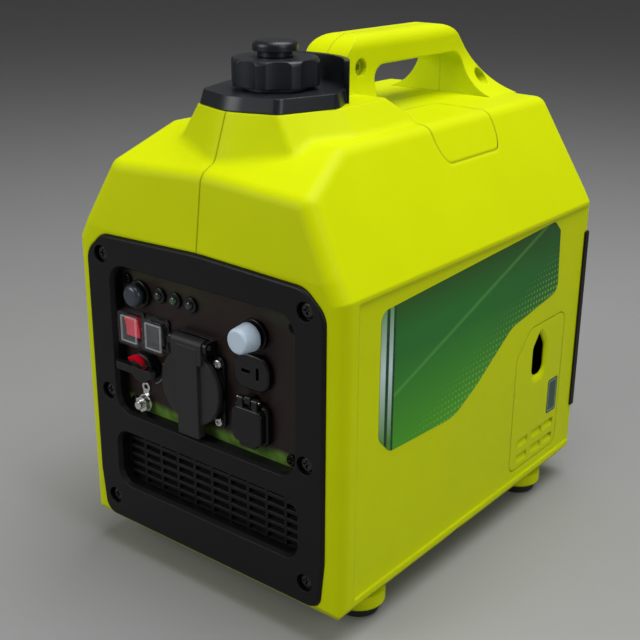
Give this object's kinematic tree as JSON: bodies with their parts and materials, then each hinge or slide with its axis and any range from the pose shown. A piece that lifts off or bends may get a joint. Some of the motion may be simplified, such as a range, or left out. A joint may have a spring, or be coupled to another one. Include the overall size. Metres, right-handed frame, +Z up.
{
  "type": "portable generator",
  "caption": "Portable inverter generator: two-part moulded shell with top carry handle, front control panel, fuel cap, service covers, engine and recoil starter.",
  "frame": {"origin": "on the ground under the middle of the generator's outer box, between its feet", "axes": "+Z up, -Y towards the control panel, +X towards the right-hand side seen from the control panel"},
  "size_m": [0.224, 0.32, 0.356],
  "materials": {
    "housing_lime": "moulded satin-gloss ABS",
    "trim_charcoal": "satin moulded plastic, blue-black",
    "bezel_black": "fine-grained satin plastic",
    "panel_black": "screen-printed satin sheet",
    "control_black": "satin-gloss moulded plastic",
    "socket_grey": "matt charcoal plastic",
    "collar_grey": "matt grey plastic",
    "rocker_red": "glossy red plastic",
    "clear_cover": "clear soft splash cover",
    "boot_milky": "translucent milky silicone",
    "lamp_lens": "small domed lens",
    "label_green": "printed adhesive film, plain pattern",
    "foot_rubber": "black rubber",
    "screw_black": "black-coated steel",
    "zinc_steel": "zinc-plated steel",
    "engine_aluminium": "cast aluminium",
    "engine_steel": "machined steel",
    "winding_copper": "enamelled copper on laminations",
    "exhaust_steel": "heat-resistant grey",
    "inner_plastic": "moulded plastic",
    "tank_plastic": "moulded fuel tank",
    "rope_white": "braided nylon",
    "hose_black": "fuel-resistant rubber"
  },
  "bodies": {
    "root": {"right_housing": "housing_lime", "left_housing": "housing_lime", "side_label": "label_green", "tank_trim": "trim_charcoal", "rubber_feet": "foot_rubber", "front_bezel": "bezel_black", "front_grille": "bezel_black", "control_panel": "panel_black", "panel_screws": "zinc_steel", "breaker_bodies": "collar_grey", "lamp_sleeves": "control_black", "lamp_lenses": "lamp_lens", "switch_frames": "control_black", "switch_splash_covers": "clear_cover", "ground_terminal": "zinc_steel", "socket_body": "control_black", "socket_insert": "socket_grey", "hinge_pins": "zinc_steel", "dc_outlet": "control_black", "usb_outlet": "control_black", "rear_cover": "bezel_black", "case_screws": "screw_black", "engine_mounts": "foot_rubber", "crankcase": "engine_aluminium", "cylinder": "engine_aluminium", "cylinder_head": "engine_aluminium", "spark_plug": "engine_steel", "ignition_coil_and_boot": "inner_plastic", "oil_filler_cap": "inner_plastic", "stator": "winding_copper", "fan_shroud": "inner_plastic", "recoil_housing": "inner_plastic", "recoil_grip_cup": "inner_plastic", "fuel_tank": "tank_plastic", "carburettor": "engine_aluminium", "air_filter_box": "inner_plastic", "fuel_hose": "hose_black", "muffler": "exhaust_steel", "exhaust_pipes": "exhaust_steel", "inverter_module": "engine_aluminium"},
    "fuel_cap": {"fuel_cap": "trim_charcoal"},
    "vent_knob": {"cap_vent_knob": "trim_charcoal"},
    "socket_lid": {"socket_lid": "socket_grey"},
    "usb_cover": {"usb_cover": "control_black"},
    "engine_rocker": {"engine_rocker": "rocker_red"},
    "eco_rocker": {"eco_rocker": "control_black"},
    "mode_knob": {"mode_knob": "control_black"},
    "ac_button": {"ac_breaker_button": "control_black"},
    "dc_button": {"dc_breaker_button": "control_black", "dc_breaker_boot": "boot_milky"},
    "recoil_grip": {"recoil_grip": "control_black", "starter_rope": "rope_white"},
    "recoil_pulley": {"recoil_pulley": "inner_plastic"},
    "crank_train": {"crankshaft": "engine_steel", "flywheel_rotor": "engine_steel", "cooling_fan": "inner_plastic"},
    "piston": {"piston": "engine_aluminium"},
    "right_cover": {"right_service_cover": "housing_lime"},
    "left_cover": {"left_service_cover": "housing_lime"},
    "plug_cover": {"spark_plug_cover": "housing_lime"}
  },
  "joints": [
    {"name": "fuel_cap_lift", "type": "slide", "parent": "root", "child": "fuel_cap", "axis": [0, 0, 1], "range_m": [0, 0.04]},
    {"name": "vent_knob_turn", "type": "hinge", "parent": "fuel_cap", "child": "vent_knob", "pos_m": [0, -0.076, 0.35], "axis": [0, 0, 1], "range_deg": [0, 180]},
    {"name": "socket_lid_hinge", "type": "hinge", "parent": "root", "child": "socket_lid", "pos_m": [-0.0085, -0.1495, 0.177], "axis": [-1, 0, 0], "range_deg": [0, 100], "stiffness_Nm_per_rad": 0.01, "springref_deg": -17.19},
    {"name": "usb_cover_hinge", "type": "hinge", "parent": "root", "child": "usb_cover", "pos_m": [0.039, -0.1481, 0.1507], "axis": [-1, 0, 0], "range_deg": [0, 100]},
    {"name": "engine_rocker_tilt", "type": "hinge", "parent": "root", "child": "engine_rocker", "pos_m": [-0.0662, -0.1425, 0.1715], "axis": [1, 0, 0], "range_deg": [-16, 0]},
    {"name": "eco_rocker_tilt", "type": "hinge", "parent": "root", "child": "eco_rocker", "pos_m": [-0.0434, -0.1425, 0.1715], "axis": [1, 0, 0], "range_deg": [-16, 0]},
    {"name": "mode_knob_turn", "type": "hinge", "parent": "root", "child": "mode_knob", "pos_m": [-0.0545, -0.1425, 0.1475], "axis": [0, 1, 0], "range_deg": [0, 90]},
    {"name": "ac_button_press", "type": "slide", "parent": "root", "child": "ac_button", "axis": [0, 1, 0], "range_m": [0, 0.0025], "stiffness_N_per_m": 150, "springref_m": -0.004},
    {"name": "dc_button_press", "type": "slide", "parent": "root", "child": "dc_button", "axis": [0, 1, 0], "range_m": [0, 0.0025], "stiffness_N_per_m": 150, "springref_m": -0.004},
    {"name": "recoil_pull", "type": "slide", "parent": "root", "child": "recoil_grip", "axis": [-1, 0, 0], "range_m": [0, 0.17], "stiffness_N_per_m": 20, "springref_m": -0.1},
    {"name": "recoil_pulley_turn", "type": "hinge", "parent": "root", "child": "recoil_pulley", "pos_m": [0, -0.074, 0.105], "axis": [0, 1, 0], "range_deg": [-245, 0]},
    {"name": "crank_spin", "type": "hinge", "parent": "root", "child": "crank_train", "pos_m": [0, 0.029, 0.105], "axis": [0, 1, 0], "continuous": true},
    {"name": "piston_stroke", "type": "slide", "parent": "root", "child": "piston", "axis": [0, 0, 1], "range_m": [-0.012, 0.012]},
    {"name": "right_cover_off", "type": "slide", "parent": "root", "child": "right_cover", "axis": [1, 0, 0], "range_m": [0, 0.05]},
    {"name": "left_cover_off", "type": "slide", "parent": "root", "child": "left_cover", "axis": [-1, 0, 0], "range_m": [0, 0.05]},
    {"name": "plug_cover_off", "type": "slide", "parent": "root", "child": "plug_cover", "axis": [0, 0, 1], "range_m": [0, 0.05]}
  ],
  "couplings": [
    {"joint": "recoil_pulley_turn", "follows": "recoil_pull", "rad_per_m": -25}
  ]
}
